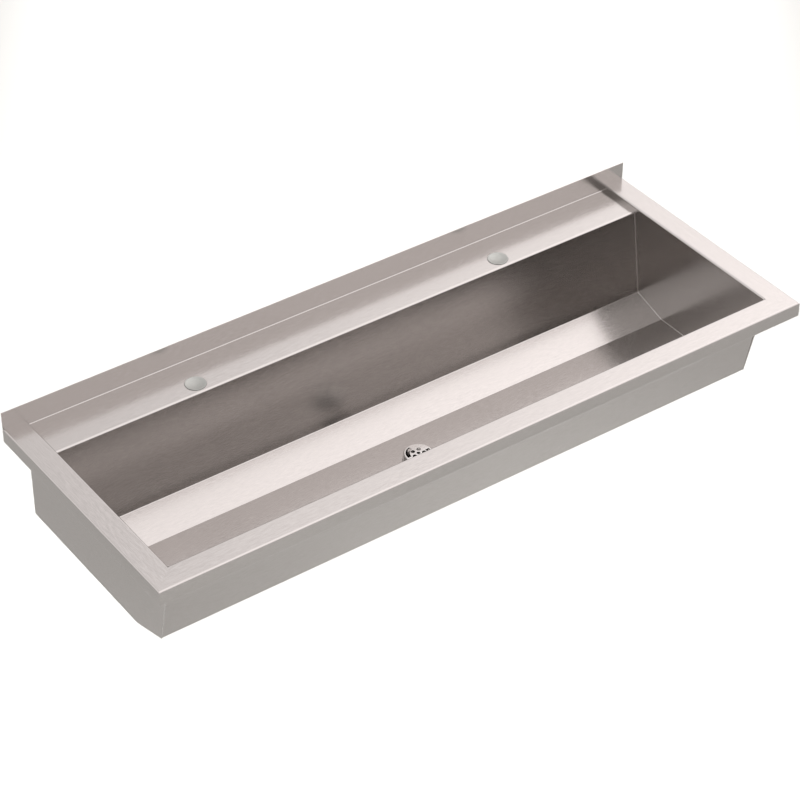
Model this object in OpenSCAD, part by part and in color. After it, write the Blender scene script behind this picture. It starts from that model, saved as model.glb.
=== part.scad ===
// Wall-hung trough sink folded from stainless steel sheet, with a sunk tap ledge, an upstand
// at the wall, two hidden wall brackets and a waste with a lift-out strainer.
// Millimetres, +Z up, -Y to the front. The origin is the middle of the four wall fixings,
// on the wall.

/* [Trough] */
// Length from end to end
trough_l = 1200; // [1100:10:1800]
// Depth from the front edge to the wall
trough_d = 450; // [420:5:540]
// Thickness of the stainless sheet
sheet_t = 1.5; // [1.2:0.1:2]
// Inside radius of the bends in the sheet
bend_r = 1.5; // [1:0.25:2.25]

/* [Rim] */
// Width of the front rim
rim_front_w = 41; // [30:1:60]
// Width of the rim at each end
rim_side_w = 40; // [30:1:60]
// Height of the lip folded down round the rim
lip_h = 27; // [18:1:45]
// Width of the fold turned in under the lip
lip_return_w = 8; // [5:1:16]

/* [Bowl] */
// Depth of the bowl from the rim to the gully
bowl_h = 182; // [170:1:260]
// How far back the front wall slopes
front_wall_run = 32.5; // [10:0.5:60]
// How far back the fold under the front wall runs
front_fold_run = 69; // [30:1:100]
// How far down the fold under the front wall drops
front_fold_drop = 20.7; // [10:0.1:40]
// How far the sloping floor runs from the gully to the back wall
floor_run = 64.7; // [30:0.1:100]
// How far the sloping floor drops to the gully
floor_drop = 19.7; // [8:0.1:40]
// How far forward the back wall slopes
back_wall_run = 23; // [5:0.5:40]

/* [Tap ledge] */
// Depth of the ledge from the bowl to the wall
ledge_w = 84; // [78:1:120]
// How far the ledge is sunk below the rim
ledge_drop = 10; // [6:0.5:20]
// Height of the upstand above the ledge
upstand_h = 40; // [25:1:100]
// Height of the ledge's front fold, where it meets the back wall
ledge_fold_h = 14; // [8:1:30]
// Diameter of the tap holes
tap_hole_d = 35; // [28:1:36]
// Distance of the left tap hole from the middle of the trough
tap_left = 297; // [150:1:340]
// Distance of the right tap hole from the middle of the trough
tap_right = 288; // [150:1:340]
// Distance of the tap holes behind the ledge's front edge
tap_inset = 23; // [23:0.5:40]

/* [Tap hole blanks] */
// Gap round a blank in its hole
blank_gap = 0.3; // [0.1:0.1:0.6]
// Height of a blank's edge above the ledge
blank_rise = 1; // [0.5:0.1:2]
// Depth of the shallow dish pressed in a blank's face
blank_dish = 1.8; // [0.5:0.1:1.8]
// Lap of a blank's flange under the ledge
blank_lap = 1.5; // [1:0.1:1.8]
// Thickness of a blank's flange
blank_flange_t = 1; // [0.5:0.1:3]

/* [Wall fixing] */
// Distance from each end of the trough to the middle of its bracket
bracket_inset = 150; // [100:5:200]
// Height of the upper wall fixing below the rim
fixing_drop = 45; // [40:1:80]
// Distance between the two wall fixings of a bracket
fixing_pitch = 100; // [60:1:120]
// Diameter of the holes for the wall fixings
fixing_hole_d = 9; // [6:0.5:14]
// Width of a bracket
bracket_w = 50; // [44:1:80]
// Thickness of a bracket
bracket_t = 3; // [2:0.5:5]
// How far a bracket reaches out from the wall
bracket_reach = 70; // [66:1:76]
// How far a bracket reaches below its lower fixing
bracket_foot = 20; // [14:1:30]
// Diameter of the weld studs under the ledge
stud_d = 8; // [6:1:8]
// Length of the weld studs
stud_l = 24; // [18:1:40]
// Distance between the two studs of a bracket
stud_pitch = 30; // [22:1:32]
// Distance of the rear stud from the wall
stud_inset = 20; // [18:1:24]

/* [Waste] */
// Diameter of the hole in the gully
waste_hole_d = 44; // [42:0.5:46]
// Diameter of the waste's top flange
waste_flange_d = 51; // [50:0.5:60]
// Thickness of the waste's top flange
waste_flange_t = 1.2; // [0.8:0.1:2.5]
// Thickness of the seal under the top flange
flange_seal_t = 1; // [0.5:0.1:2]
// Length of the neck under the top flange
neck_l = 14; // [10:0.5:18]
// Wall of the neck
neck_wall = 1.5; // [1:0.1:2.5]
// Diameter of the strainer
strainer_d = 48; // [44:0.5:49]
// Height of the strainer's top above the gully
strainer_h = 14; // [11:0.5:25]
// Thickness of the strainer's walls
strainer_wall = 1.2; // [0.8:0.1:1.5]
// Diameter of the holes in the strainer's ring
strainer_hole_d = 7; // [4:0.5:8]
// Diameter of the hole in the middle of the strainer
strainer_mid_hole_d = 6; // [4:0.5:8]
// Outer diameter of the outlet's thread
outlet_d = 47.8; // [46:0.1:50]
// Bore of the outlet
outlet_bore_d = 40; // [34:0.5:41]
// Length of the outlet's thread
outlet_l = 32; // [20:1:60]
// Depth of the waste body's cup
cup_h = 18; // [18:1:40]
// Diameter of the waste screw
waste_screw_d = 6; // [4:0.5:8]

/* [Pads and earthing] */
// Length of a sound-deadening pad
pad_l = 320; // [150:10:420]
// Thickness of a sound-deadening pad
pad_t = 3; // [1.5:0.5:6]
// Distance from the middle of the waste to a pad
pad_offset = 90; // [60:5:100]
// Width of the earthing lug
lug_w = 20; // [16:1:30]
// Reach of the earthing lug
lug_reach = 24; // [20:1:32]
// Thickness of the earthing lug
lug_t = 2; // [1.5:0.5:4]
// Diameter of the earthing screw
earth_screw_d = 6; // [4:1:8]

/* [Hidden] */

$fn = 64;
// Overrun of every cut
cut = 1;
// Steps round each bend of the sheet
bend_steps = 4;

// Places along the length, from the middle
end_x = trough_l / 2;
inner_x = end_x - rim_side_w;
bracket_x = end_x - bracket_inset;

// Heights
rim_z = fixing_drop + fixing_pitch / 2;
ledge_z = rim_z - ledge_drop;
ledge_under_z = ledge_z - sheet_t;
upstand_z = ledge_z + upstand_h;
gully_z = rim_z - bowl_h;
gully_under_z = gully_z - sheet_t;

// Corners of the bowl's water side, as [y, z], from the back to the front
function below_rim(y, drop) = [y - trough_d, rim_z - drop];
ledge_edge = [-ledge_w, ledge_z];
wall_foot = [-ledge_w - back_wall_run, gully_z + floor_drop];
gully_back = [wall_foot[0] - floor_run, gully_z];
front_foot = below_rim(rim_front_w + front_wall_run, bowl_h - front_fold_drop);
gully_front = [front_foot[0] + front_fold_run, gully_z];
rim_inner = below_rim(rim_front_w, 0);
seam = ledge_edge + unit(wall_foot - ledge_edge) * ledge_fold_h;
rim_fold = [
    below_rim(0, 0), below_rim(0, lip_h), below_rim(lip_return_w, lip_h)
];
drain_y = (gully_back[0] + gully_front[0]) / 2;

// Sheet metal helpers. A section is drawn along its visible face, with the sheet to the
// left of the line
function unit(v) = v / norm(v);
function left_of(v) = [-v[1], v[0]];
function turned(v, a) = [v[0] * cos(a) - v[1] * sin(a), v[0] * sin(a) + v[1] * cos(a)];
function turn_at(line, i) =
    let (u = unit(line[i] - line[i - 1]), v = unit(line[i + 1] - line[i]))
    atan2(cross(u, v), u * v);

// Points round the bend at corner i, on the visible face or on the far one
function bend_points(line, i, t, r, far) =
    let (
        a = turn_at(line, i),
        u = unit(line[i] - line[i - 1]),
        face_r = a > 0 ? r + t : r,
        far_r = a > 0 ? r : r + t,
        centre = line[i] - u * face_r * tan(abs(a) / 2) + sign(a) * left_of(u) * face_r,
        arm = sign(a) * (far ? far_r : face_r)
    )
    [for (k = [0:bend_steps]) centre - arm * turned(left_of(u), a * k / bend_steps)];

// One face of a folded sheet
function face_line(line, t, r, far) =
    let (
        last = len(line) - 1,
        shift = far ? t : 0,
        first_side = left_of(unit(line[1] - line[0])) * shift,
        last_side = left_of(unit(line[last] - line[last - 1])) * shift
    )
    concat(
        [line[0] + first_side],
        [for (i = [1:last - 1]) each bend_points(line, i, t, r, far)],
        [line[last] + last_side]
    );

function reversed(list) = [for (i = [len(list) - 1:-1:0]) list[i]];

module folded_section(line, t = sheet_t, r = bend_r) {
    polygon(concat(face_line(line, t, r, false), reversed(face_line(line, t, r, true))));
}

// Stretches a [y, z] outline from x0 to x1
module along_x(x0, x1) {
    translate([x0, 0, 0]) rotate([90, 0, 90]) linear_extrude(x1 - x0) children();
}

// Stretches an [x, z] outline from y0 to y1
module along_y(y0, y1) {
    translate([0, y1, 0]) rotate([90, 0, 0]) linear_extrude(y1 - y0) children();
}

// Stretches an [x, y] outline from z0 to z1
module along_z(z0, z1) {
    translate([0, 0, z0]) linear_extrude(z1 - z0) children();
}

module ring(r_out, r_in, z0, z1) {
    along_z(z0, z1) difference() {
        circle(r_out);
        circle(r_in);
    }
}

module hex(across_flats) {
    circle(across_flats / 2 / cos(180 / 6), $fn = 6);
}

// Bowl sheet: lip, front rim, front wall, gully, sloping floor and back wall in one folded
// sheet, mitred to the end panels at the front corners
module bowl_sheet() {
    line = concat([seam, wall_foot, gully_back, gully_front, front_foot, rim_inner], rim_fold);
    color("silver") difference() {
        intersection() {
            along_x(-end_x, end_x) folded_section(line);
            along_z(gully_under_z - cut, rim_z + cut) polygon([
                [-end_x, -trough_d], [end_x, -trough_d], [inner_x, rim_inner[0]],
                [inner_x, 0], [-inner_x, 0], [-inner_x, rim_inner[0]]
            ]);
        }
        translate([0, drain_y, gully_under_z - cut])
            cylinder(h = sheet_t + 2 * cut, d = waste_hole_d);
    }
}

// End panels: lip, end rim and end wall, which runs on behind the bowl to the wall and is
// folded in there
// Width of the fold at the wall
end_return_w = 14;
// Gap between that fold and the ledge
end_return_gap = 3;
module end_panel() {
    x_face = -inner_x;
    x_back = x_face - sheet_t;
    fold = bend_r + sheet_t;
    return_z = ledge_under_z - end_return_gap;
    section = [
        [x_face, gully_under_z - cut], [x_face, rim_z], [-end_x, rim_z],
        [-end_x, rim_z - lip_h], [-end_x + lip_return_w, rim_z - lip_h]
    ];
    underside = face_line(
        [[-fold, gully_z], gully_front, front_foot, rim_inner], sheet_t, bend_r, true
    );
    front_top = underside[len(underside) - 1];
    wall_outline = concat(underside, [
        [front_top[0], rim_z + cut], [cut, rim_z + cut], [cut, return_z], [-fold, return_z]
    ]);
    intersection() {
        along_y(-trough_d, 0) folded_section(section);
        along_z(gully_under_z - cut, rim_z + cut) polygon([
            [-end_x, -trough_d], [x_face, rim_inner[0]], [x_face, 0], [-end_x, 0]
        ]);
        union() {
            along_x(-end_x - cut, x_back) polygon([
                [-trough_d - cut, rim_z - lip_h - cut], [cut, rim_z - lip_h - cut],
                [cut, rim_z + cut], [-trough_d - cut, rim_z + cut]
            ]);
            along_x(x_back, x_face + cut) polygon(wall_outline);
        }
    }
    along_z(gully_under_z, return_z)
        folded_section([[x_back + end_return_w, 0], [x_back, 0], [x_back, -fold]]);
}

module end_panel_left() {
    color("silver") end_panel();
}

module end_panel_right() {
    color("silver") mirror([1, 0, 0]) end_panel();
}

// Tap ledge: upstand, ledge and front fold in one sheet, notched at the ends so that the
// upstand stands on the end rims
module tap_ledge() {
    line = [[-sheet_t, upstand_z], [-sheet_t, ledge_z], ledge_edge, seam];
    color("silver") difference() {
        along_x(-end_x, end_x) folded_section(line);
        for (side = [0, 1]) mirror([side, 0, 0]) ledge_notch();
        for (x = [-tap_left, tap_right])
            translate([x, ledge_edge[0] + tap_inset, ledge_under_z - cut])
                cylinder(h = sheet_t + 2 * cut, d = tap_hole_d);
    }
}

// Cut that takes the ledge away over the right end rim, up to the height of the rim
module ledge_notch() {
    front = seam[0] - cut;
    low = seam[1] - cut;
    translate([inner_x, front, low])
        cube([end_x + cut - inner_x, cut - front, rim_z - low]);
}

// Tap hole blanks: discs with a shallow dish that fill the tap holes, with a flange under the
// ledge
// Width of the level edge round the dish
blank_edge = 0.8;
module tap_hole_blanks() {
    face_r = tap_hole_d / 2 - blank_gap;
    top_z = sheet_t + blank_rise;
    dish_r = face_r - blank_edge;
    // Radius of the dish's curve, and half the angle that it turns through
    curve_r = (dish_r * dish_r + blank_dish * blank_dish) / (2 * blank_dish);
    curve_a = asin(dish_r / curve_r);
    dish = [
        for (k = [0:bend_steps * 2])
            let (a = curve_a * k / (bend_steps * 2))
            [curve_r * sin(a), top_z - blank_dish + curve_r * (1 - cos(a))]
    ];
    flange_r = tap_hole_d / 2 + blank_lap;
    color("darkgray") for (x = [-tap_left, tap_right])
        translate([x, ledge_edge[0] + tap_inset, ledge_under_z]) rotate_extrude()
            polygon(concat(dish, [
                [face_r, top_z], [face_r, 0], [flange_r, 0], [flange_r, -blank_flange_t],
                [0, -blank_flange_t]
            ]));
}

// Damping pads: two sound-deadening pads stuck under the gully
// Distance from a pad's edges to the bends of the gully
pad_edge_gap = 10;
module damping_pads() {
    y0 = gully_front[0] + pad_edge_gap;
    y1 = gully_back[0] - pad_edge_gap;
    color("dimgray") for (x = [-pad_offset - pad_l, pad_offset])
        translate([x, y0, gully_under_z - pad_t]) cube([pad_l, y1 - y0, pad_t]);
}

// Brackets: folded steel angles with a welded web, screwed to the wall, that carry the
// ledge from below
// Height of the web at its nose
web_nose_h = 15;
// Width of the web at its foot
web_foot_w = 17;
module bracket() {
    top_z = ledge_under_z;
    foot_z = -fixing_pitch / 2 - bracket_foot;
    // The web reaches half way into both plates
    web_top = top_z - bracket_t / 2;
    web_back = -bracket_t / 2;
    color("gainsboro") difference() {
        union() {
            along_x(-bracket_w / 2, bracket_w / 2)
                folded_section(
                    [[-bracket_reach, top_z - bracket_t], [-bracket_t, top_z - bracket_t],
                     [-bracket_t, foot_z]], bracket_t, bend_r
                );
            along_x(bracket_w / 2 - bracket_t, bracket_w / 2) polygon([
                [-bracket_reach, web_top], [web_back, web_top], [web_back, foot_z],
                [-web_foot_w, foot_z], [-bracket_reach, top_z - web_nose_h]
            ]);
        }
        for (z = [-fixing_pitch / 2, fixing_pitch / 2])
            translate([0, cut, z]) rotate([90, 0, 0])
                cylinder(h = bracket_t + 2 * cut, d = fixing_hole_d);
        for (y = stud_rows)
            translate([0, y, top_z - bracket_t - cut])
                cylinder(h = bracket_t + 2 * cut, d = stud_d + stud_gap);
    }
}

module bracket_left() {
    translate([-bracket_x, 0, 0]) mirror([1, 0, 0]) bracket();
}

module bracket_right() {
    translate([bracket_x, 0, 0]) bracket();
}

// Fasteners of the brackets
// Play of a stud in the bracket, across
stud_gap = 1;
// Play of a stud in its nut, across
thread_gap = 0.1;
stud_rows = [-stud_inset, -stud_inset - stud_pitch];
// Washer and nut sizes as shares of the stud
washer_d_share = 2;
washer_t_share = 0.2;
nut_flats_share = 1.625;
nut_h_share = 0.8;
washer_z = ledge_under_z - bracket_t;
washer_t = stud_d * washer_t_share;

module at_studs() {
    for (x = [-bracket_x, bracket_x], y = stud_rows) translate([x, y, 0]) children();
}

module bracket_studs() {
    color("silver") at_studs()
        translate([0, 0, ledge_under_z - stud_l]) cylinder(h = stud_l, d = stud_d);
}

module bracket_washers() {
    color("gainsboro") at_studs()
        ring(stud_d * washer_d_share / 2, (stud_d + stud_gap) / 2, washer_z - washer_t, washer_z);
}

module bracket_nuts() {
    nut_top = washer_z - washer_t;
    color("gainsboro") at_studs()
        along_z(nut_top - stud_d * nut_h_share, nut_top) difference() {
            hex(stud_d * nut_flats_share);
            circle((stud_d + thread_gap) / 2);
        }
}

// Waste: top flange with its neck, seals, body and screw
// Gap round the neck in the hole and in the cup
neck_gap = 0.5;
// Gap round the strainer's spigot in the neck
spigot_gap = 0.3;
neck_r = waste_hole_d / 2 - neck_gap;
neck_bore_r = neck_r - neck_wall;
flange_under_z = gully_z + flange_seal_t;
flange_top_z = flange_under_z + waste_flange_t;
neck_foot_z = gully_z - neck_l;
// Height and width of the bridges that hold the screw
bridge_h = 3;
bridge_w = 6;
// Height of the flange's bridge above the neck's foot
bridge_lift = 6;
// Wall round the screw
boss_wall = 3;
screw_gap = 0.6;
boss_r = waste_screw_d / 2 + boss_wall;
flange_bridge_top = neck_foot_z + bridge_lift + bridge_h;

module at_drain() {
    translate([0, drain_y, 0]) children();
}

// A bar across a round bore, with a boss for the screw in the middle
module bridge(bore_r, z_top, hole_d) {
    difference() {
        intersection() {
            union() {
                translate([-bore_r - cut, -bridge_w / 2, z_top - bridge_h])
                    cube([2 * (bore_r + cut), bridge_w, bridge_h]);
                translate([0, 0, z_top - bridge_h]) cylinder(h = bridge_h, r = boss_r);
            }
            translate([0, 0, z_top - bridge_h]) cylinder(h = bridge_h, r = bore_r + neck_wall / 2);
        }
        translate([0, 0, z_top - bridge_h - cut])
            cylinder(h = bridge_h + 2 * cut, d = hole_d);
    }
}

module waste_flange() {
    flange_r = waste_flange_d / 2;
    // Bevel round the flange's edge
    bevel = waste_flange_t / 2;
    color("gainsboro") at_drain() union() {
        rotate_extrude() polygon([
            [neck_bore_r, neck_foot_z], [neck_r, neck_foot_z], [neck_r, flange_under_z],
            [flange_r, flange_under_z], [flange_r, flange_top_z - bevel],
            [flange_r - bevel, flange_top_z], [neck_bore_r, flange_top_z]
        ]);
        bridge(neck_bore_r, flange_bridge_top, waste_screw_d + screw_gap);
    }
}

// Width of the seal's edge that stays back from the flange's edge
seal_edge = 0.7;
module flange_seal() {
    color("black") at_drain()
        ring(waste_flange_d / 2 - seal_edge, waste_hole_d / 2, gully_z, flange_under_z);
}

body_flange_lap = 8;
body_flange_t = 3;
body_wall = 3.5;
body_seal_t = 2;
body_r = waste_hole_d / 2 + body_flange_lap;
body_top_z = gully_under_z - body_seal_t;
cup_r = neck_r + neck_gap;
cup_foot_z = body_top_z - cup_h;
outlet_z = cup_foot_z - body_wall - outlet_l;
body_bridge_top = cup_foot_z - body_wall;

module body_seal() {
    color("black") at_drain()
        ring(body_r - seal_edge, waste_hole_d / 2 + neck_gap, body_top_z, gully_under_z);
}

module waste_body() {
    bore_r = outlet_bore_d / 2;
    outer_r = max(cup_r + body_wall, outlet_d / 2);
    color("whitesmoke") at_drain() union() {
        rotate_extrude() polygon([
            [bore_r, outlet_z], [outlet_d / 2, outlet_z], [outlet_d / 2, body_bridge_top],
            [outer_r, body_bridge_top], [outer_r, body_top_z - body_flange_t],
            [body_r, body_top_z - body_flange_t], [body_r, body_top_z],
            [cup_r, body_top_z], [cup_r, cup_foot_z], [bore_r, cup_foot_z]
        ]);
        bridge(bore_r, body_bridge_top, waste_screw_d + thread_gap);
    }
}

// Waste screw: cheese head on the flange's bridge, shank down into the body's bridge
// Head of the screw as shares of its diameter
screw_head_d_share = 1.7;
screw_head_h_share = 0.5;
slot_w_share = 0.2;
module waste_screw() {
    head_h = waste_screw_d * screw_head_h_share;
    head_d = waste_screw_d * screw_head_d_share;
    slot_w = waste_screw_d * slot_w_share;
    foot_z = body_bridge_top - bridge_h - waste_screw_d / 2;
    color("silver") at_drain() difference() {
        union() {
            translate([0, 0, flange_bridge_top]) cylinder(h = head_h, d = head_d);
            translate([0, 0, foot_z])
                cylinder(h = flange_bridge_top - foot_z, d = waste_screw_d);
        }
        translate([-head_d, -slot_w / 2, flange_bridge_top + head_h / 2])
            cube([2 * head_d, slot_w, head_h]);
    }
}

// Strainer: a low drum that stands on the flange, with a spigot in the neck, windows at its
// foot for the water and two gaps in its top for the fingers
strainer_holes = 5;
strainer_first_hole_a = 53;
strainer_ring_r = 9.5;
finger_gap_a = 80;
finger_gap_mid_a = 143;
// Inner edge of the finger gaps
finger_gap_r = 14;
// Ring left outside the finger gaps
finger_gap_edge = 3.5;
strainer_windows = 8;
window_h = 5;
window_w = 10;
spigot_l = 5;
module strainer() {
    r = strainer_d / 2;
    top_z = gully_z + strainer_h;
    foot_top = flange_top_z + strainer_wall;
    spigot_r = neck_bore_r - spigot_gap;
    color("lightgray") at_drain() difference() {
        rotate_extrude() polygon([
            [0, top_z], [r - strainer_wall, top_z], [r, top_z - strainer_wall],
            [r, flange_top_z], [spigot_r, flange_top_z], [spigot_r, flange_top_z - spigot_l],
            [spigot_r - strainer_wall, flange_top_z - spigot_l],
            [spigot_r - strainer_wall, foot_top], [r - strainer_wall, foot_top],
            [r - strainer_wall, top_z - strainer_wall], [0, top_z - strainer_wall]
        ]);
        for (k = [0:strainer_holes - 1])
            rotate([0, 0, strainer_first_hole_a + k * 360 / strainer_holes])
                translate([strainer_ring_r, 0, top_z - strainer_wall - cut])
                    cylinder(h = strainer_wall + 2 * cut, d = strainer_hole_d, $fn = 32);
        translate([0, 0, top_z - strainer_wall - cut])
            cylinder(h = strainer_wall + 2 * cut, d = strainer_mid_hole_d, $fn = 32);
        for (side = [0, 1])
            rotate([0, 0, finger_gap_mid_a - finger_gap_a / 2 + side * 180])
                rotate_extrude(angle = finger_gap_a)
                    translate([finger_gap_r, top_z - strainer_wall - cut])
                        square([r - finger_gap_edge - finger_gap_r, strainer_wall + 2 * cut]);
        for (k = [0:strainer_windows - 1])
            rotate([0, 0, k * 360 / strainer_windows])
                translate([r - 2 * strainer_wall, -window_w / 2, foot_top])
                    cube([3 * strainer_wall, window_w, window_h]);
    }
}

// Earthing lug: a small angle welded to the left end panel behind the bowl
// Distance of the lug from the wall and below the ledge
lug_inset = 45;
lug_drop = 60;
lug_top_z = ledge_under_z - lug_drop;
lug_x = -inner_x;
lug_hole_x = lug_x + lug_reach - lug_w / 2;
module earth_lug() {
    color("silver") translate([0, -lug_inset, 0]) difference() {
        along_y(-lug_w / 2, lug_w / 2)
            folded_section(
                [[lug_x + lug_reach, lug_top_z], [lug_x, lug_top_z], [lug_x, lug_top_z - lug_w]],
                lug_t, bend_r
            );
        translate([lug_hole_x, 0, lug_top_z - lug_t - cut])
            cylinder(h = lug_t + 2 * cut, d = earth_screw_d + screw_gap);
    }
}

// Length of the earthing screw, and its head and nut, as shares of its diameter
earth_screw_l_share = 2.6;
earth_head_h_share = 0.65;
earth_flats_share = 1.65;
module earth_screw() {
    color("gainsboro") translate([lug_hole_x, -lug_inset, lug_top_z]) {
        along_z(0, earth_screw_d * earth_head_h_share) hex(earth_screw_d * earth_flats_share);
        along_z(-earth_screw_d * earth_screw_l_share, 0) circle(d = earth_screw_d);
    }
}

module earth_nut() {
    nut_h = earth_screw_d * nut_h_share;
    color("gainsboro") translate([lug_hole_x, -lug_inset, lug_top_z - lug_t - nut_h])
        along_z(0, nut_h) difference() {
            hex(earth_screw_d * earth_flats_share);
            circle(d = earth_screw_d + thread_gap);
        }
}

bowl_sheet();
end_panel_left();
end_panel_right();
tap_ledge();
tap_hole_blanks();
damping_pads();
bracket_left();
bracket_right();
bracket_studs();
bracket_washers();
bracket_nuts();
waste_flange();
flange_seal();
strainer();
waste_screw();
body_seal();
waste_body();
earth_lug();
earth_screw();
earth_nut();
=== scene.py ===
import math

import bmesh
import bpy
from mathutils import Matrix, Vector


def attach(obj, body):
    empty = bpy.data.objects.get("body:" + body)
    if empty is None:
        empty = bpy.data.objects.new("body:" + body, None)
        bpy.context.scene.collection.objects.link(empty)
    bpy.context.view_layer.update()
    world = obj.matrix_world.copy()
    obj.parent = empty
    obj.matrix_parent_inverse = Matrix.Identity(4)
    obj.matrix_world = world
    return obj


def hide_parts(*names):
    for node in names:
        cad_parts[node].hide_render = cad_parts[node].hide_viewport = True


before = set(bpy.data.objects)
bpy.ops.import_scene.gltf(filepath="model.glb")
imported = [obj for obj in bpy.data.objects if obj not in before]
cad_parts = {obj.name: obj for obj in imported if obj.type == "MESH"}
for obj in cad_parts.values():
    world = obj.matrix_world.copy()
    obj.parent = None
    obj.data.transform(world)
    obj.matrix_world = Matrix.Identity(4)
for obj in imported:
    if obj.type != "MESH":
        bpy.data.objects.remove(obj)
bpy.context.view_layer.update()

# The bowl sheet.
# One sheet of 1.5 mm stainless steel, brushed along its length and folded on a press brake: front lip, rim,
# front wall, gully and back wall are one strip. The drain hole is punched through the gully.
mm = 0.001
sheet_t = 1.5 * mm
press_radius = 1.5 * mm
bend_steps = 6
rim_z = 95 * mm
end_x = 600 * mm
inner_x = 560 * mm
lip_y = -450 * mm
rim_inner_y = -409 * mm
lip_foot_z = 68 * mm
lip_return = 8 * mm
gully_z = -87 * mm
front_foot_y = -376.5 * mm
front_foot_z = -66.3 * mm
gully_front_y = -307.5 * mm
gully_back_y = -171.7 * mm
wall_foot_y = -107 * mm
wall_foot_z = -67.3 * mm
ledge_front_y = -84 * mm
ledge_z = 85 * mm
ledge_fold_h = 14 * mm
wall_lean = (ledge_front_y - wall_foot_y) / (ledge_z - wall_foot_z)
seam_z = ledge_z - ledge_fold_h
seam_y = ledge_front_y - wall_lean * ledge_fold_h
drain_y = (gully_back_y + gully_front_y) / 2
drain_hole_r = 22 * mm
hole_margin = 2.5 * mm
hole_steps = 64
mitre_slope = (end_x - inner_x) / (rim_inner_y - lip_y)
sharp_edge = math.radians(30)
fold_least = math.radians(5)
level_least = 0.99
same_point = 0.01 * mm
merge_gap = 0.002 * mm
noise_low = 0.3
noise_high = 0.7
mix_low = 6
mix_high = 7
mix_result = 2
round_profile = 0.5
ease_steps = 2


def add_node(tree, kind, inputs, **settings):
    """Adds one shader node, sets it, and fills its inputs with values or with other nodes' sockets."""
    made = tree.nodes.new("ShaderNode" + kind)
    for name, value in settings.items():
        setattr(made, name, value)
    for name, value in inputs.items():
        if isinstance(value, bpy.types.NodeSocket):
            tree.links.new(value, made.inputs[name])
        else:
            made.inputs[name].default_value = value
    return made


def blend_colours(tree, share, low, high):
    """Mixes two colours by a share from 0 to 1, and gives the mix's socket."""
    mix = add_node(tree, "Mix", {0: share}, data_type="RGBA")
    for socket, colour in ((mix_low, low), (mix_high, high)):
        if isinstance(colour, bpy.types.NodeSocket):
            tree.links.new(colour, mix.inputs[socket])
        else:
            mix.inputs[socket].default_value = (*colour, 1)
    return mix.outputs[mix_result]


def shade_of(colour, share):
    return tuple(channel * share for channel in colour)


def ranged(tree, value, low, high):
    """Spreads a noise, which stays near a half, over low to high."""
    spread = {"Value": value, "From Min": noise_low, "From Max": noise_high, "To Min": low, "To Max": high}
    return add_node(tree, "MapRange", spread).outputs["Result"]


def new_finish(name, metallic):
    material = bpy.data.materials.new(name)
    material.use_nodes = True
    shader = material.node_tree.nodes["Principled BSDF"]
    shader.inputs["Metallic"].default_value = metallic
    return material, material.node_tree, shader


steel_tone = (0.515, 0.494, 0.480)
steel_rough = 0.2
grain_across = 700
grain_along = 80
grain_dark = 0.91
grain_bright = 1.07
grain_gloss = 0.035
grain_height = 0.012 * mm
hair_across = 2900
hair_along = 200
hair_share = 0.25
hair_dark = 0.86
cloud_size = 5
cloud_share = 0.5
cloud_bright = 1.04
cloud_gloss = 0.02
# The fold share and brightness paint a highlight into the colour along the bends.
fold_highlight_share = 0.5
fold_highlight_bright = 1.06


def brushed_steel(name, grain_axis, tone, rough):
    """Brushed stainless sheet: fine lines along the grain in colour, gloss and height, faint clouds left by
    the rolling mill, and a painted highlight along the folds, where the colour is made brighter."""
    material, tree, shader = new_finish(name, metallic=1.0)
    coords = add_node(tree, "TexCoord", {}).outputs["Object"]
    grain_scale = [grain_across] * 3
    hair_scale = [hair_across] * 3
    grain_scale[grain_axis] = grain_along
    hair_scale[grain_axis] = hair_along
    grain_place = add_node(tree, "Mapping", {"Vector": coords, "Scale": grain_scale})
    hair_place = add_node(tree, "Mapping", {"Vector": coords, "Scale": hair_scale})
    grain_noise = {"Vector": grain_place.outputs[0], "Scale": 1, "Detail": 3}
    hair_noise = {"Vector": hair_place.outputs[0], "Scale": 1, "Detail": 2}
    cloud_noise = {"Vector": coords, "Scale": cloud_size, "Detail": 2}
    grain = add_node(tree, "TexNoise", grain_noise).outputs[0]
    hair = add_node(tree, "TexNoise", hair_noise).outputs[0]
    cloud = add_node(tree, "TexNoise", cloud_noise).outputs[0]
    fold = add_node(tree, "Attribute", {}, attribute_name="fold").outputs["Fac"]
    brushed = blend_colours(tree, ranged(tree, grain, 0, 1), shade_of(tone, grain_dark),
                            shade_of(tone, grain_bright))
    haired = blend_colours(tree, ranged(tree, hair, 0, hair_share), brushed, shade_of(tone, hair_dark))
    clouded = blend_colours(tree, ranged(tree, cloud, 0, cloud_share), haired, shade_of(tone, cloud_bright))
    # Painted highlight: the colour of the fold faces is made brighter, standing in for light caught on the
    # bends.
    fold_highlight = add_node(tree, "Math", {0: fold, 1: fold_highlight_share}, operation="MULTIPLY").outputs[0]
    fold_lit = blend_colours(tree, fold_highlight, clouded, shade_of(tone, fold_highlight_bright))
    tree.links.new(fold_lit, shader.inputs["Base Color"])
    lines = add_node(tree, "Math", {0: ranged(tree, grain, -grain_gloss, grain_gloss), 1: rough},
                     operation="ADD").outputs[0]
    mill = add_node(tree, "Math", {0: ranged(tree, cloud, -cloud_gloss, cloud_gloss), 1: lines},
                    operation="ADD").outputs[0]
    tree.links.new(mill, shader.inputs["Roughness"])
    height = add_node(tree, "Math", {0: grain, 1: hair}, operation="ADD").outputs[0]
    bump = add_node(tree, "Bump", {"Height": height, "Distance": grain_height, "Strength": 1.0})
    tree.links.new(bump.outputs[0], shader.inputs["Normal"])
    return material


def face_up(bm):
    """Makes a folded strip's faces agree, with the seen side up."""
    bmesh.ops.recalc_face_normals(bm, faces=bm.faces[:])
    if sum(face.normal.z * face.calc_area() for face in bm.faces) < 0:
        bmesh.ops.reverse_faces(bm, faces=bm.faces[:])
    bm.normal_update()


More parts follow.
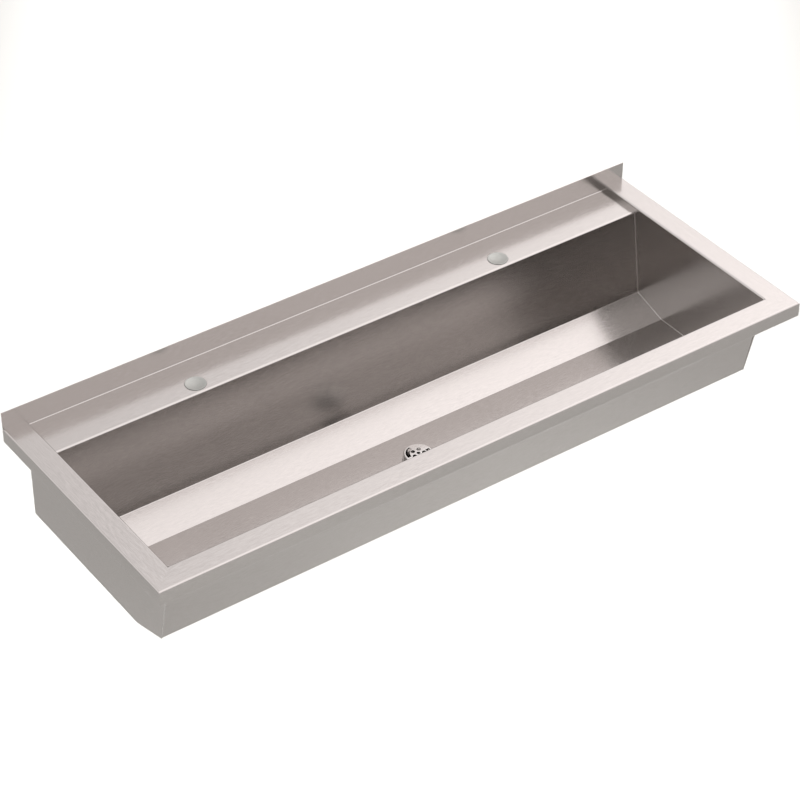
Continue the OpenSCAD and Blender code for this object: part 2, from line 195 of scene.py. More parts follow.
def pull_strip(corners, run):
    """Draws the corners of a section and pulls them along a run, as an open strip of flat faces."""
    bm = bmesh.new()
    bm.faces.layers.float.new("fold")
    points = [bm.verts.new(corner) for corner in corners]
    edges = [bm.edges.new(pair) for pair in zip(points, points[1:])]
    pulled = bmesh.ops.extrude_edge_only(bm, edges=edges)
    moved = [item for item in pulled["geom"] if isinstance(item, bmesh.types.BMVert)]
    bmesh.ops.translate(bm, verts=moved, vec=run)
    face_up(bm)
    return bm


def round_folds(bm):
    """Rounds each fold to the press tool's radius on its inner side and a sheet's thickness more outside."""
    fold_mark = bm.faces.layers.float["fold"]
    sharp = [edge for edge in bm.edges if edge.is_manifold and edge.calc_face_angle() > fold_least]
    turns = [edge.calc_face_angle_signed() for edge in sharp]
    for edge, turn in zip(sharp, turns):
        radius = press_radius + (sheet_t if turn > 0 else 0)
        width = radius * math.tan(abs(turn) / 2)
        made = bmesh.ops.bevel(bm, geom=[edge], offset=width, offset_type="OFFSET", segments=bend_steps,
                               profile=round_profile, affect="EDGES", material=-1)
        for face in made["faces"]:
            face[fold_mark] = 1.0


def with_parts(faces):
    """Lists faces with their edges and corners, as a cut through them needs."""
    return list({part for face in faces for part in [face, *face.edges, *face.verts]})


def punch_hole(bm, x, y, radius):
    """Punches a round hole in a level face: four cuts frame a square, and a ring is bridged to its sides."""
    seat = radius + hole_margin
    for place, normal in (((x - seat, y, 0), (1, 0, 0)), ((x + seat, y, 0), (1, 0, 0)),
                          ((x, y - seat, 0), (0, 1, 0)), ((x, y + seat, 0), (0, 1, 0))):
        bmesh.ops.bisect_plane(bm, geom=bm.verts[:] + bm.edges[:] + bm.faces[:], dist=same_point,
                               plane_co=place, plane_no=normal)
    centre = Vector((x, y))
    square = [face for face in bm.faces if abs(face.normal.z) > level_least
              and (face.calc_center_median().xy - centre).length < radius / 2]
    level = square[0].calc_center_median().z
    sides = list(square[0].edges)
    bmesh.ops.delete(bm, geom=square, context="FACES_ONLY")
    split = bmesh.ops.subdivide_edges(bm, edges=sides, cuts=hole_steps // 4 - 1)
    rim = [item for item in split["geom_split"] if isinstance(item, bmesh.types.BMEdge)]
    place = Matrix.Translation((x, y, level)) @ Matrix.Rotation(math.pi / 4, 4, "Z")
    ring = bmesh.ops.create_circle(bm, cap_ends=False, radius=radius, segments=hole_steps, matrix=place)
    ring_edges = list({edge for vert in ring["verts"] for edge in vert.link_edges})
    bmesh.ops.bridge_loops(bm, edges=rim + ring_edges)
    face_up(bm)


def thicken(bm):
    """Gives the strip the sheet's thickness on its hidden side."""
    bm.normal_update()
    bmesh.ops.solidify(bm, geom=bm.faces[:], thickness=sheet_t)
    bm.normal_update()


def set_piece(name, bm, material, body="trough", stands_for=(), ease=0):
    """Makes a finished mesh a piece that rides on its body, with eased edges where asked and even shading."""
    bmesh.ops.remove_doubles(bm, verts=bm.verts[:], dist=merge_gap)
    bm.normal_update()
    for face in bm.faces:
        face.smooth = True
    for edge in bm.edges:
        edge.smooth = edge.is_manifold and edge.calc_face_angle() < sharp_edge
    mesh = bpy.data.meshes.new(name)
    bm.to_mesh(mesh)
    bm.free()
    mesh.materials.append(material)
    piece = bpy.data.objects.new(name, mesh)
    bpy.context.scene.collection.objects.link(piece)
    if ease:
        eased = piece.modifiers.new("eased edges", "BEVEL")
        eased.width = ease
        eased.segments = ease_steps
        eased.limit_method = "ANGLE"
        eased.angle_limit = sharp_edge
        eased.use_clamp_overlap = False
    even = piece.modifiers.new("even shading", "WEIGHTED_NORMAL")
    even.keep_sharp = True
    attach(piece, body)
    if stands_for:
        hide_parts(*stands_for)


bowl_line = [
    (seam_y, seam_z),
    (wall_foot_y, wall_foot_z),
    (gully_back_y, gully_z),
    (gully_front_y, gully_z),
    (front_foot_y, front_foot_z),
    (rim_inner_y, rim_z),
    (lip_y, rim_z),
    (lip_y, lip_foot_z),
    (lip_y + lip_return, lip_foot_z),
]
bowl_steel = brushed_steel("bowl_steel", 0, steel_tone, steel_rough)
bowl = pull_strip([(-inner_x, y, z) for y, z in bowl_line], (2 * inner_x, 0, 0))
round_folds(bowl)
punch_hole(bowl, 0, drain_y, drain_hole_r)
thicken(bowl)
for vert in bowl.verts:
    past = rim_inner_y - vert.co.y
    if past > 0 and vert.co.z > lip_foot_z - sheet_t:
        vert.co.x = math.copysign(inner_x + past * mitre_slope, vert.co.x)
set_piece("bowl_folded", bowl, bowl_steel, stands_for=["bowl_sheet"])

# The end panels.
# One folded sheet closes each end: end wall, side rim, hanging lip and a narrow return against the building's
# wall, brushed from front to back. Its rim is mitred to the front rim and the joints are welded and ground.
bottom_z = gully_z - sheet_t
return_w = 14 * mm
return_top_z = 80.5 * mm
notch_h = 3 * mm
notch_w = 5 * mm
panel_steel = brushed_steel("end_steel", 1, steel_tone, steel_rough)
front_wall = Vector((0, rim_inner_y - front_foot_y, rim_z - front_foot_z)).normalized()
front_fold = Vector((0, front_foot_y - gully_front_y, front_foot_z - gully_z)).normalized()
for side, side_name in ((-1, "left"), (1, "right")):
    panel_line = [(inner_x, bottom_z), (inner_x, rim_z), (end_x, rim_z), (end_x, lip_foot_z),
                  (end_x - lip_return, lip_foot_z)]
    panel = pull_strip([(side * x, 0, z) for x, z in panel_line], (0, rim_inner_y, 0))
    for along, corner in ((front_wall, (front_foot_y, front_foot_z)), (front_fold, (gully_front_y, gully_z))):
        outward = Vector((0, -along.z, along.y))
        plate = [face for face in panel.faces if all(abs(v.co.x) < inner_x + sheet_t for v in face.verts)]
        bmesh.ops.bisect_plane(panel, geom=with_parts(plate), plane_no=outward, clear_outer=True,
                               plane_co=Vector((0, *corner)) + outward * sheet_t)
    plate = [face for face in panel.faces if all(abs(v.co.x) < inner_x + sheet_t for v in face.verts)]
    bmesh.ops.bisect_plane(panel, geom=with_parts(plate), plane_co=(0, 0, return_top_z), plane_no=(0, 0, 1))
    for place, normal in (((0, 0, return_top_z + notch_h), (0, 0, 1)), ((0, -notch_w, 0), (0, 1, 0))):
        above = [face for face in panel.faces
                 if abs(face.calc_center_median().x) < inner_x + sheet_t
                 and return_top_z < face.calc_center_median().z < rim_z]
        lowest = min(above, key=lambda face: face.calc_center_median().z)
        bmesh.ops.bisect_plane(panel, geom=with_parts([lowest]), plane_co=place, plane_no=normal)
    notch = [face for face in panel.faces
             if abs(face.calc_center_median().x) < inner_x + sheet_t
             and face.calc_center_median().y > -notch_w
             and return_top_z < face.calc_center_median().z < return_top_z + notch_h]
    bmesh.ops.delete(panel, geom=notch, context="FACES")
    back = [edge for edge in panel.edges
            if all(abs(v.co.x) < inner_x + sheet_t and v.co.y > -sheet_t and v.co.z < return_top_z + sheet_t
                   for v in edge.verts)]
    for vert in {v for edge in back for v in edge.verts}:
        vert.co.y = -sheet_t
    folded = bmesh.ops.extrude_edge_only(panel, edges=back)
    moved = [item for item in folded["geom"] if isinstance(item, bmesh.types.BMVert)]
    bmesh.ops.translate(panel, verts=moved, vec=(-side * (return_w - sheet_t), 0, 0))
    face_up(panel)
    round_folds(panel)
    thicken(panel)
    for vert in panel.verts:
        past = abs(vert.co.x) - inner_x
        if past > 0 and vert.co.y < rim_inner_y + sheet_t and vert.co.z > lip_foot_z - 2 * sheet_t:
            vert.co.y = rim_inner_y - past / mitre_slope
    set_piece("end_" + side_name + "_folded", panel, panel_steel,
              stands_for=["end_panel_" + side_name])

# The tap ledge.
# A third sheet carries the taps: a short fold welded to the back wall, the ledge with two punched tap holes,
# and the upstand against the wall, whose top runs on over both side rims.
upstand_top_z = 125 * mm
tap_hole_r = 17.5 * mm
tap_y = -61 * mm
tap_places = (-297 * mm, 288 * mm)
ledge_steel = brushed_steel("ledge_steel", 0, steel_tone, steel_rough)
ledge_line = [(seam_y, seam_z), (ledge_front_y, ledge_z), (-sheet_t, ledge_z), (-sheet_t, upstand_top_z)]
ledge = pull_strip([(-inner_x, y, z) for y, z in ledge_line], (2 * inner_x, 0, 0))
round_folds(ledge)
for tap_x in tap_places:
    punch_hole(ledge, tap_x, tap_y, tap_hole_r)
bmesh.ops.bisect_plane(ledge, geom=ledge.verts[:] + ledge.edges[:] + ledge.faces[:],
                       plane_co=(0, 0, rim_z), plane_no=(0, 0, 1))
for side in (-1, 1):
    wing = [edge for edge in ledge.edges
            if all(side * v.co.x > inner_x - sheet_t and v.co.z > rim_z - sheet_t / 2 for v in edge.verts)]
    spread = bmesh.ops.extrude_edge_only(ledge, edges=wing)
    moved = [item for item in spread["geom"] if isinstance(item, bmesh.types.BMVert)]
    bmesh.ops.translate(ledge, verts=moved, vec=(side * (end_x - inner_x), 0, 0))
face_up(ledge)
thicken(ledge)
set_piece("tap_ledge_folded", ledge, ledge_steel, stands_for=["tap_ledge"])

# The corner welds.
# The bowl sheet and the tap ledge are welded to each end wall from the water side, and the bead is ground and
# brushed to a narrow fillet that runs all the way down, across the gully and up again.
bead = 1.1 * mm
bead_sunk = 0.1 * mm
bead_shade = 0.98
bead_rough = 0.3
bead_steel = brushed_steel("bead_steel", 0, shade_of(steel_tone, bead_shade), bead_rough)
bead_line = [(ledge_front_y, ledge_z)] + bowl_line[1:6]
for side, side_name in ((-1, "left"), (1, "right")):
    weld = pull_strip([(side * (inner_x - bead), y, z) for y, z in bead_line], (side * bead, 0, 0))
    round_folds(weld)
    weld.normal_update()
    foot = [(vert, vert.normal.copy()) for vert in weld.verts]
    raised = bmesh.ops.extrude_face_region(weld, geom=weld.faces[:], use_keep_orig=True)
    weld.normal_update()
    at_wall = [(item, item.normal.copy()) for item in raised["geom"]
               if isinstance(item, bmesh.types.BMVert) and abs(item.co.x) > inner_x - bead / 2]
    for vert, lift in at_wall:
        vert.co += lift * bead
    for vert, lift in foot:
        vert.co -= lift * bead_sunk
    for vert in weld.verts:
        if abs(vert.co.x) > inner_x - bead / 2:
            vert.co.x += side * bead_sunk
    bmesh.ops.recalc_face_normals(weld, faces=weld.faces[:])
    set_piece("corner_weld_" + side_name, weld, bead_steel)

# The tap hole blanks.
# Pressed caps of stainless steel, blasted matt, close the two tap holes until taps are fitted. Each has a
# shallow dish in its face and a flange under the ledge.
blank_tone = (0.47, 0.48, 0.46)
blank_rough = (0.40, 0.50)
blank_ease = 0.3 * mm
blast_size = 1500
blast_dark = 0.9
blast_bright = 1.08
blast_depth = 0.03 * mm
dent_size = 420
dent_share = 0.3
dent_dark = 0.85
flat_least = math.radians(0.5)


def whole_copy(node):
    """Takes a CAD node's shape, with its triangles merged to whole faces."""
    bm = bmesh.new()
    bm.from_mesh(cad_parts[node].data)
    bmesh.ops.remove_doubles(bm, verts=bm.verts[:], dist=same_point)
    bmesh.ops.dissolve_degenerate(bm, dist=same_point, edges=bm.edges[:])
    bmesh.ops.dissolve_limit(bm, angle_limit=flat_least, verts=bm.verts[:], edges=bm.edges[:])
    bm.normal_update()
    return bm


def roughen(tree, shader, value, rough):
    """Sets a finish's roughness between two values by a noise."""
    tree.links.new(ranged(tree, value, *rough), shader.inputs["Roughness"])


def raise_bumps(tree, shader, height, depth):
    bump = add_node(tree, "Bump", {"Height": height, "Distance": depth})
    tree.links.new(bump.outputs[0], shader.inputs["Normal"])


def noise_over(tree, size, detail):
    """Noise over the object itself, with the given number of spots to a metre."""
    coords = add_node(tree, "TexCoord", {}).outputs["Object"]
    return add_node(tree, "TexNoise", {"Vector": coords, "Scale": size, "Detail": detail}).outputs[0]


blank_steel, blank_tree, blank_shader = new_finish("blank_steel", metallic=1.0)
blast = noise_over(blank_tree, blast_size, detail=3)
dents = noise_over(blank_tree, dent_size, detail=2)
blank_grit = blend_colours(blank_tree, ranged(blank_tree, blast, 0, 1), shade_of(blank_tone, blast_dark),
                           shade_of(blank_tone, blast_bright))
blank_dented = blend_colours(blank_tree, ranged(blank_tree, dents, 0, dent_share), blank_grit,
                             shade_of(blank_tone, dent_dark))
blank_tree.links.new(blank_dented, blank_shader.inputs["Base Color"])
roughen(blank_tree, blank_shader, dents, blank_rough)
raise_bumps(blank_tree, blank_shader, blast, blast_depth)
set_piece("blank_caps", whole_copy("tap_hole_blanks"), blank_steel,
          stands_for=["tap_hole_blanks"], ease=blank_ease)

# The damping pads.
# Bitumen felt stuck under the gully deadens the drumming of water on thin sheet. It is matt black, stippled
# by the roller, and its edges are slightly rounded.
felt_size = 2200
felt_dark = (0.018, 0.018, 0.02)
felt_pale = (0.06, 0.06, 0.065)
felt_rough = (0.65, 0.95)
pad_ease = 0.8 * mm
stipple_size = 260
stipple_share = 0.6
stipple_tone = (0.10, 0.10, 0.105)
stipple_depth = 0.4 * mm
pad_felt, pad_tree, pad_shader = new_finish("pad_felt", metallic=0.0)
fibres = noise_over(pad_tree, felt_size, detail=4)
stipple = noise_over(pad_tree, stipple_size, detail=3)
pad_fibre = blend_colours(pad_tree, ranged(pad_tree, fibres, 0, 1), felt_dark, felt_pale)
pad_rolled = blend_colours(pad_tree, ranged(pad_tree, stipple, 0, stipple_share), pad_fibre, stipple_tone)
pad_tree.links.new(pad_rolled, pad_shader.inputs["Base Color"])
roughen(pad_tree, pad_shader, stipple, felt_rough)
pad_height = add_node(pad_tree, "Math", {0: stipple, 1: fibres}, operation="ADD").outputs[0]
raise_bumps(pad_tree, pad_shader, pad_height, stipple_depth)
set_piece("felt_pads", whole_copy("damping_pads"), pad_felt, stands_for=["damping_pads"],
          ease=pad_ease)

# The wall brackets and their fixings.
# Two folded brackets of 3 mm galvanised steel hang the trough on the wall. Threaded weld studs under the
# ledge pass through them and take bright plated washers and nuts.
turn_steps = 48
thread_steps = 24
thread_sunk = 0.1 * mm
thread_ends = 0.1
thread_short = 1.5
ridge_shares = (0.02, 0.44, 0.56, 0.98)
upright_most = 0.5
shank_slack = 0.1 * mm
spin_gap = 0.001 * mm
nut_slack = 0.05 * mm
stud_foot_z = 59.5 * mm
stud_thread_top_z = 80.5 * mm
stud_places = [(x, y) for x in (-450 * mm, 450 * mm) for y in (-20 * mm, -50 * mm)]
stud_r = 4 * mm
stud_root_r = 3.35 * mm
stud_pitch = 1.25 * mm
nut_flats = 13 * mm
nut_foot_z = 72.5 * mm
nut_top_z = 78.9 * mm
crown_share = 0.96
crown_fall = math.tan(math.radians(30))
bracket_ease = 0.4 * mm
washer_ease = 0.3 * mm
spangle_size = 130
spangle_dark = (0.42, 0.44, 0.46)
spangle_bright = (0.60, 0.61, 0.62)
zinc_shift = (0.004, 0.004, 0.004)
zinc_drift_size = 40
zinc_drift_share = 0.45
zinc_drift_tone = (0.50, 0.50, 0.50)
zinc_rough = (0.34, 0.48)
zinc_depth = 0.05 * mm
stud_tone = (0.55, 0.54, 0.53)
stud_rough = 0.3


def cut_thread(bm, x, y, foot_z, top_z, root_r, crest_r, pitch):
    """Cuts a shank down to a thread's root between two heights, and winds the thread's ridge round it. The
    ridge is a closed piece whose foot and ends are sunk in the root."""
    centre = Vector((x, y))
    for height in (top_z, top_z - pitch / 2):
        shank = [face for face in bm.faces if abs(face.normal.z) < upright_most
                 and all(abs((v.co.xy - centre).length - crest_r) < shank_slack for v in face.verts)]
        bmesh.ops.bisect_plane(bm, geom=with_parts(shank), plane_co=(0, 0, height), plane_no=(0, 0, 1))
    for vert in bm.verts:
        arm = vert.co.xy - centre
        if abs(arm.length - crest_r) < shank_slack and foot_z - pitch < vert.co.z < top_z - pitch / 4:
            vert.co.xy = centre + arm * (root_r / arm.length)
    sunk_r = root_r - thread_sunk
    ridge = zip((sunk_r, crest_r, crest_r, sunk_r), ridge_shares)
    points = [bm.verts.new((x + radius, y, foot_z + pitch * share)) for radius, share in ridge]
    face = bm.faces.new(points)
    steps = int((top_z - foot_z - thread_short * pitch) / pitch * thread_steps)
    wound = bmesh.ops.spin(bm, geom=[face, *face.edges, *points], cent=(x, y, 0), axis=(0, 0, 1),
                           dvec=(0, 0, pitch / thread_steps), angle=math.tau * steps / thread_steps,
                           steps=steps)
    for vert in points + [item for item in wound["geom_last"] if isinstance(item, bmesh.types.BMVert)]:
        arm = vert.co.xy - centre
        end_r = sunk_r + (arm.length - sunk_r) * thread_ends
        vert.co.xy = centre + arm * (end_r / arm.length)
    bmesh.ops.recalc_face_normals(bm, faces=bm.faces[:])


def turn_hexagon(bm, x, y, foot_z, top_z, flats, bore_r, crowns):
    """Turns a blank round a bore, then presses its sides to six flats, with the corners turned off where a
    crown is asked for."""
    crown_r = flats / 2 * crown_share
    corner_r = flats / 2 / math.cos(math.pi / 6)
    section = [(bore_r, foot_z), (crown_r, foot_z), (corner_r, foot_z), (corner_r, top_z), (crown_r, top_z),
               (bore_r, top_z)]
    start = [bm.verts.new((x + radius, y, height)) for radius, height in section]
    ends = start[1:] + start[:1] if bore_r else start[1:]
    edges = [bm.edges.new(pair) for pair in zip(start, ends)]
    older = set(bm.verts) - set(start)
    bmesh.ops.spin(bm, geom=start + edges, cent=(x, y, 0), axis=(0, 0, 1), angle=math.tau, steps=turn_steps,
                   use_merge=True)
    bmesh.ops.remove_doubles(bm, verts=[v for v in bm.verts if v not in older], dist=spin_gap)
    centre = Vector((x, y))
    for vert in [v for v in bm.verts if v not in older]:
        arm = vert.co.xy - centre
        if arm.length > crown_r + same_point:
            past_flat = math.atan2(arm.y, arm.x) % (math.pi / 3) - math.pi / 6
            reach = flats / 2 / math.cos(past_flat)
            vert.co.xy = centre + arm * (reach / arm.length)
            fall = (reach - crown_r) * crown_fall
            if vert.co.z > (foot_z + top_z) / 2 and "top" in crowns:
                vert.co.z = top_z - fall
            elif vert.co.z < (foot_z + top_z) / 2 and "foot" in crowns:
                vert.co.z = foot_z + fall
    bmesh.ops.recalc_face_normals(bm, faces=bm.faces[:])


def speckled(name, metallic, cloud_spots, grain_spots, tones, speck, rough, depth):
    """A finish that drifts between two tones, in gloss too, with a fine grain in height and specks of a third
    tone, which cover up to the given share."""
    material, tree, shader = new_finish(name, metallic)
    drift = noise_over(tree, cloud_spots, detail=3)
    grain = noise_over(tree, grain_spots, detail=2)
    speck_tone, speck_share = speck
    drifted = blend_colours(tree, ranged(tree, drift, 0, 1), *tones)
    specked = blend_colours(tree, ranged(tree, grain, 0, speck_share), drifted, speck_tone)
    tree.links.new(specked, shader.inputs["Base Color"])
    roughen(tree, shader, drift, rough)
    raise_bumps(tree, shader, grain, depth)
    return material


zinc, zinc_tree, zinc_shader = new_finish("bracket_zinc", metallic=1.0)
zinc_coords = add_node(zinc_tree, "TexCoord", {}).outputs["Object"]
zinc_drift = noise_over(zinc_tree, zinc_drift_size, detail=3)
zinc_place = add_node(zinc_tree, "VectorMath", {0: zinc_coords, 1: zinc_shift}, operation="ADD")
spangle = add_node(zinc_tree, "TexVoronoi", {"Vector": zinc_place.outputs[0], "Scale": spangle_size,
                                             "Randomness": 1.0})
crystal = add_node(zinc_tree, "SeparateColor", {0: spangle.outputs["Color"]}).outputs[0]
zinc_flake = blend_colours(zinc_tree, crystal, spangle_dark, spangle_bright)
zinc_clouded = blend_colours(zinc_tree, ranged(zinc_tree, zinc_drift, 0, zinc_drift_share), zinc_flake,
                             zinc_drift_tone)
zinc_tree.links.new(zinc_clouded, zinc_shader.inputs["Base Color"])
roughen(zinc_tree, zinc_shader, crystal, zinc_rough)
raise_bumps(zinc_tree, zinc_shader, spangle.outputs["Distance"], zinc_depth)
for side_name in ("left", "right"):
    set_piece("hanger_" + side_name, whole_copy("bracket_" + side_name), zinc,
              stands_for=["bracket_" + side_name], ease=bracket_ease)

stud_steel = brushed_steel("stud_steel", 2, stud_tone, stud_rough)
fastener_zinc = speckled("fastener_zinc", metallic=1.0, cloud_spots=160, grain_spots=2600,
                         tones=((0.58, 0.59, 0.62), (0.64, 0.63, 0.57)), speck=((0.42, 0.42, 0.42), 0.3),
                         rough=(0.24, 0.38), depth=0.01 * mm)
studs = whole_copy("bracket_studs")
for x, y in stud_places:
    cut_thread(studs, x, y, stud_foot_z, stud_thread_top_z, stud_root_r, stud_r, stud_pitch)
set_piece("weld_studs", studs, stud_steel, stands_for=["bracket_studs"])
set_piece("stud_washers", whole_copy("bracket_washers"), fastener_zinc,
          stands_for=["bracket_washers"], ease=washer_ease)
nuts = bmesh.new()
for x, y in stud_places:
    turn_hexagon(nuts, x, y, nut_foot_z, nut_top_z, nut_flats, stud_r + nut_slack, ("foot", "top"))
set_piece("stud_nuts", nuts, fastener_zinc, stands_for=["bracket_nuts"])

# The waste.
# A turned flange sits on a seal in the gully and carries the strainer, and one long screw draws the plastic
# body up against the underside through a second seal. The strainer lifts out to be cleaned.
turned_lines = 2600
turned_dark = 0.92
turned_bright = 1.06
turned_depth = 0.008 * mm
spot_size = 220
spot_share = 0.3
spot_dark = 0.8
inside_shade_tone = (0.10, 0.095, 0.09)
# The inside shade tone, share and reach paint shade into the colour of the drain's hollow.
inside_shade_share = (0.95, 0.75)
inside_rough = 0.3
shaded_r = 22.9 * mm
shade_top_z = -73.4 * mm
metal_ease = 0.2 * mm
upper_seal_ease = 0.2 * mm
lower_seal_ease = 0.3 * mm
screw_foot_z = -118 * mm
screw_thread_top_z = -100 * mm
screw_r = 3 * mm
screw_root_r = 2.5 * mm
screw_pitch = 1 * mm
outlet_foot_z = -144 * mm
outlet_shoulder_z = -112 * mm
outlet_r = 23.9 * mm
outlet_root_r = 22.45 * mm
outlet_pitch = 2.309 * mm


def turned_steel(name, tone, rough):
    """Stainless steel turned or polished on a lathe round the drain's axis: fine rings, with dull spots where
    water has dried, and painted shade inside the drum below its top, where the colour is darkened and
    rougher."""
    material, tree, shader = new_finish(name, metallic=1.0)
    coords = add_node(tree, "TexCoord", {}).outputs["Object"]
    placed = add_node(tree, "VectorMath", {0: coords, 1: (0, -drain_y, 0)}, operation="ADD").outputs[0]
    flat = add_node(tree, "VectorMath", {0: placed, 1: (1, 1, 0)}, operation="MULTIPLY").outputs[0]
    radius = add_node(tree, "VectorMath", {0: flat}, operation="LENGTH").outputs["Value"]
    height = add_node(tree, "SeparateXYZ", {0: placed}).outputs["Z"]
    reach = add_node(tree, "Math", {0: radius, 1: height}, operation="ADD").outputs[0]
    rings = add_node(tree, "TexNoise", {"W": reach, "Scale": turned_lines, "Detail": 3},
                     noise_dimensions="1D").outputs[0]
    spots = noise_over(tree, spot_size, detail=3)
    ringed = blend_colours(tree, ranged(tree, rings, 0, 1), shade_of(tone, turned_dark),
                           shade_of(tone, turned_bright))
    spotted = blend_colours(tree, ranged(tree, spots, 0, spot_share), ringed, shade_of(tone, spot_dark))
    # Painted shade: inside the drum, within its wall and below its top, the colour is darkened, standing in
    # for shade in the hollow.
    inward = add_node(tree, "Math", {0: radius, 1: shaded_r}, operation="LESS_THAN").outputs[0]
    below = add_node(tree, "Math", {0: height, 1: shade_top_z}, operation="LESS_THAN").outputs[0]
    inside = add_node(tree, "Math", {0: inward, 1: below}, operation="MULTIPLY").outputs[0]
    painted_shade = add_node(tree, "Math", {0: inside, 1: ranged(tree, spots, *inside_shade_share)}, operation="MULTIPLY")
    tree.links.new(blend_colours(tree, painted_shade.outputs[0], spotted, inside_shade_tone), shader.inputs["Base Color"])
    dulled = add_node(tree, "Math", {0: inside, 1: inside_rough, 2: ranged(tree, spots, *rough)},
                      operation="MULTIPLY_ADD").outputs[0]
    tree.links.new(dulled, shader.inputs["Roughness"])
    raise_bumps(tree, shader, rings, turned_depth)
    return material


waste_steel = turned_steel("waste_steel", tone=(0.49, 0.475, 0.465), rough=(0.18, 0.28))
strainer_steel = turned_steel("strainer_steel", tone=(0.72, 0.71, 0.70), rough=(0.08, 0.16))
screw_steel = turned_steel("screw_steel", tone=(0.55, 0.54, 0.53), rough=(0.2, 0.3))
rubber = speckled("seal_rubber", metallic=0.0, cloud_spots=300, grain_spots=3000,
                  tones=((0.018, 0.018, 0.018), (0.05, 0.05, 0.048)), speck=((0.012, 0.012, 0.012), 0.4),
                  rough=(0.5, 0.75), depth=0.03 * mm)
plastic = speckled("waste_plastic", metallic=0.0, cloud_spots=55, grain_spots=2400,
                   tones=((0.80, 0.80, 0.775), (0.87, 0.87, 0.855)), speck=((0.70, 0.70, 0.68), 0.15),
                   rough=(0.30, 0.42), depth=0.02 * mm)
set_piece("turned_flange", whole_copy("waste_flange"), waste_steel,
          stands_for=["waste_flange"], ease=metal_ease)
set_piece("upper_seal", whole_copy("flange_seal"), rubber, stands_for=["flange_seal"],
          ease=upper_seal_ease)
set_piece("lift_out_strainer", whole_copy("strainer"), strainer_steel, body="strainer",
          stands_for=["strainer"], ease=metal_ease)
long_screw = whole_copy("waste_screw")
cut_thread(long_screw, 0, drain_y, screw_foot_z, screw_thread_top_z, screw_root_r, screw_r, screw_pitch)
set_piece("long_screw", long_screw, screw_steel, stands_for=["waste_screw"])
set_piece("lower_seal", whole_copy("body_seal"), rubber, stands_for=["body_seal"],
          ease=lower_seal_ease)
outlet = whole_copy("waste_body")
cut_thread(outlet, 0, drain_y, outlet_foot_z, outlet_shoulder_z, outlet_root_r, outlet_r, outlet_pitch)
set_piece("moulded_body", outlet, plastic, stands_for=["waste_body"])

# The earth point.
# A small folded lug is spot welded to the left end wall, with a hexagon screw and a nut for the bonding wire.
earth_x = -546 * mm
earth_y = -45 * mm
earth_head_z = 23.5 * mm
earth_head_top_z = 27.4 * mm
earth_nut_top_z = 21.5 * mm
earth_nut_foot_z = 16.7 * mm
earth_foot_z = 7.9 * mm
earth_flats = 9.9 * mm
earth_r = 3 * mm
earth_root_r = 2.5 * mm
earth_pitch = 1 * mm
earth_thread_top_z = 21 * mm
earth_shank_top_z = 24.5 * mm
set_piece("bonding_lug", whole_copy("earth_lug"), panel_steel, stands_for=["earth_lug"],
          ease=metal_ease)
bolt = bmesh.new()
bmesh.ops.create_cone(bolt, cap_ends=True, segments=turn_steps, radius1=earth_r, radius2=earth_r,
                      depth=earth_shank_top_z - earth_foot_z,
                      matrix=Matrix.Translation((earth_x, earth_y, (earth_shank_top_z + earth_foot_z) / 2)))
cut_thread(bolt, earth_x, earth_y, earth_foot_z, earth_thread_top_z, earth_root_r, earth_r, earth_pitch)
turn_hexagon(bolt, earth_x, earth_y, earth_head_z, earth_head_top_z, earth_flats, 0, ("top",))
set_piece("bonding_screw", bolt, fastener_zinc, stands_for=["earth_screw"])
lock_nut = bmesh.new()
turn_hexagon(lock_nut, earth_x, earth_y, earth_nut_foot_z, earth_nut_top_z, earth_flats, earth_r + nut_slack,
             ("foot", "top"))
set_piece("bonding_nut", lock_nut, fastener_zinc, stands_for=["earth_nut"])

# The studio.
# The trough hangs over a plain pale floor, in soft light from all round: a few wide softboxes stand about
# it, the brightest at the back on the right. Two panels of lamps with grids light the floor: one the part in
# view, and one the part that the front lip reflects.
floor_z = -1.2
floor_size = 16
floor_cells = 4
floor_clouds = 3
floor_tone = (0.525, 0.53, 0.515)
floor_dark = 0.995
floor_bright = 1.005
floor_rough = (0.88, 0.92)
camera_place = Vector((-1.93575, -2.88492, 2.58242))
camera_aim = Vector((0.0006, -0.1877, 0.0))
camera_roll = math.radians(0.28)
camera_lens = 119.53
camera_sensor = 36.0
air_light = (0.69, 0.67, 0.665)
softbox_tint = (1.0, 0.94, 0.94)
softbox_spread = 14
# Each softbox has its angle round the trough, from the wall over the right, its angle above the horizon, and
# its strength.
softboxes = (
    (60, 36, 1.45),
    (60, 62, 0.52),
    (120, 34, 0.35),
    (120, 62, 0.78),
    (150, 32, 0.80),
    (240, 34, 0.15),
    (300, 34, 0.60),
    (335, 34, 0.45),
)
panel_far = 4.6
panel_grid = math.radians(12)
# Each panel of lamps has the place on the floor that it aims at, the way to it, its width, depth and power.
panels = (
    ("floor_panel", (1.12, 1.375, floor_z), (0.583, 0.812, 0.93), 2.36, 2.86, 32),
    ("lip_panel", (1.12, -2.25, floor_z), (1.0, -0.3, 0.9), 1.0, 1.8, 3.4),
)
scene = bpy.context.scene
camera = bpy.data.objects.new("camera", bpy.data.cameras.new("camera"))
camera.data.lens = camera_lens
camera.data.sensor_width = camera_sensor
turn = (camera_aim - camera_place).to_track_quat("-Z", "Y").to_matrix().to_4x4()
camera.matrix_world = Matrix.Translation(camera_place) @ turn @ Matrix.Rotation(camera_roll, 4, "Z")
scene.collection.objects.link(camera)
scene.camera = camera
scene.view_settings.view_transform = "Standard"

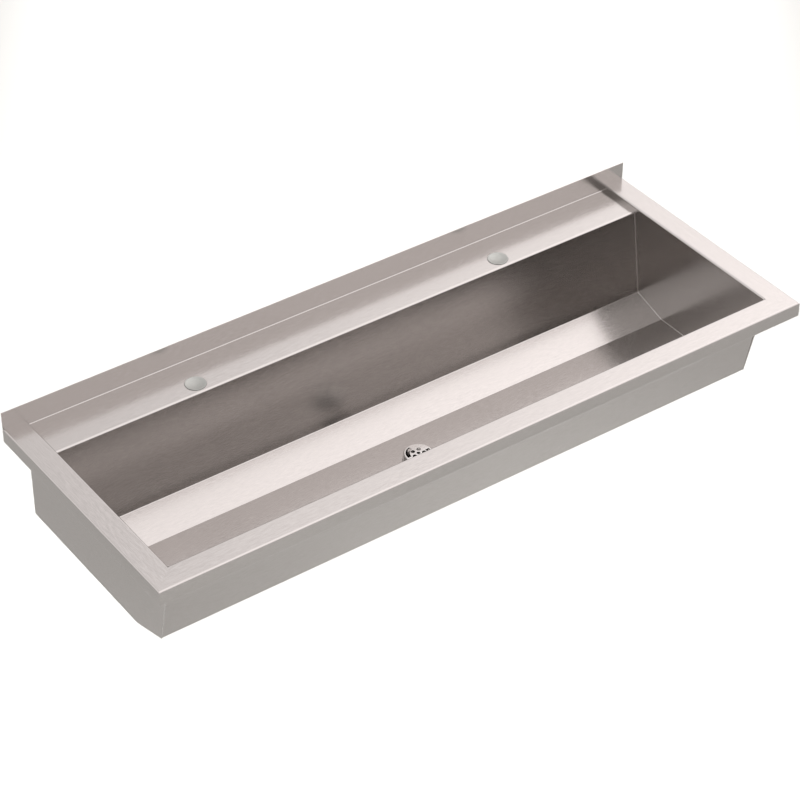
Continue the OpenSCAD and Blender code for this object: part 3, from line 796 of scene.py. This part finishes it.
world = bpy.data.worlds.new("studio")
scene.world = world
world.use_nodes = True
sky = world.node_tree
outward = add_node(sky, "TexCoord", {}).outputs["Generated"]
light = air_light
for azimuth, height, strength in softboxes:
    swing = math.radians(azimuth)
    lift = math.radians(height)
    faced = (math.sin(swing) * math.cos(lift), math.cos(swing) * math.cos(lift), math.sin(lift))
    near = add_node(sky, "VectorMath", {0: outward, 1: faced}, operation="DOT_PRODUCT").outputs["Value"]
    fall = add_node(sky, "Math", {0: near, 1: softbox_spread, 2: -softbox_spread}, operation="MULTIPLY_ADD")
    glow = add_node(sky, "Math", {0: fall.outputs[0]}, operation="EXPONENT").outputs[0]
    shine = add_node(sky, "VectorMath", {0: shade_of(softbox_tint, strength)}, operation="SCALE")
    sky.links.new(glow, shine.inputs["Scale"])
    light = add_node(sky, "VectorMath", {0: shine.outputs[0], 1: light}, operation="ADD").outputs[0]
sky.links.new(light, sky.nodes["Background"].inputs["Color"])

for name, aim, way, width, depth, power in panels:
    panel = bpy.data.objects.new(name, bpy.data.lights.new(name, "AREA"))
    panel.data.shape = "RECTANGLE"
    panel.data.size = width
    panel.data.size_y = depth
    panel.data.spread = panel_grid
    panel.data.energy = power
    back = Vector(way).normalized()
    panel.matrix_world = (Matrix.Translation(Vector(aim) + back * panel_far)
                          @ (-back).to_track_quat("-Z", "Y").to_matrix().to_4x4())
    scene.collection.objects.link(panel)

floor_mesh = bmesh.new()
bmesh.ops.create_grid(floor_mesh, x_segments=floor_cells, y_segments=floor_cells, size=floor_size / 2,
                      matrix=Matrix.Translation((0, 0, floor_z)))
floor_data = bpy.data.meshes.new("floor")
floor_mesh.to_mesh(floor_data)
floor_mesh.free()
floor = bpy.data.objects.new("floor", floor_data)
scene.collection.objects.link(floor)
floor_paint, floor_tree, floor_shader = new_finish("floor_paint", metallic=0.0)
floor_shade = noise_over(floor_tree, floor_clouds, detail=2)
floor_cast = blend_colours(floor_tree, ranged(floor_tree, floor_shade, 0, 1),
                           shade_of(floor_tone, floor_dark), shade_of(floor_tone, floor_bright))
floor_tree.links.new(floor_cast, floor_shader.inputs["Base Color"])
roughen(floor_tree, floor_shader, floor_shade, floor_rough)
floor_data.materials.append(floor_paint)
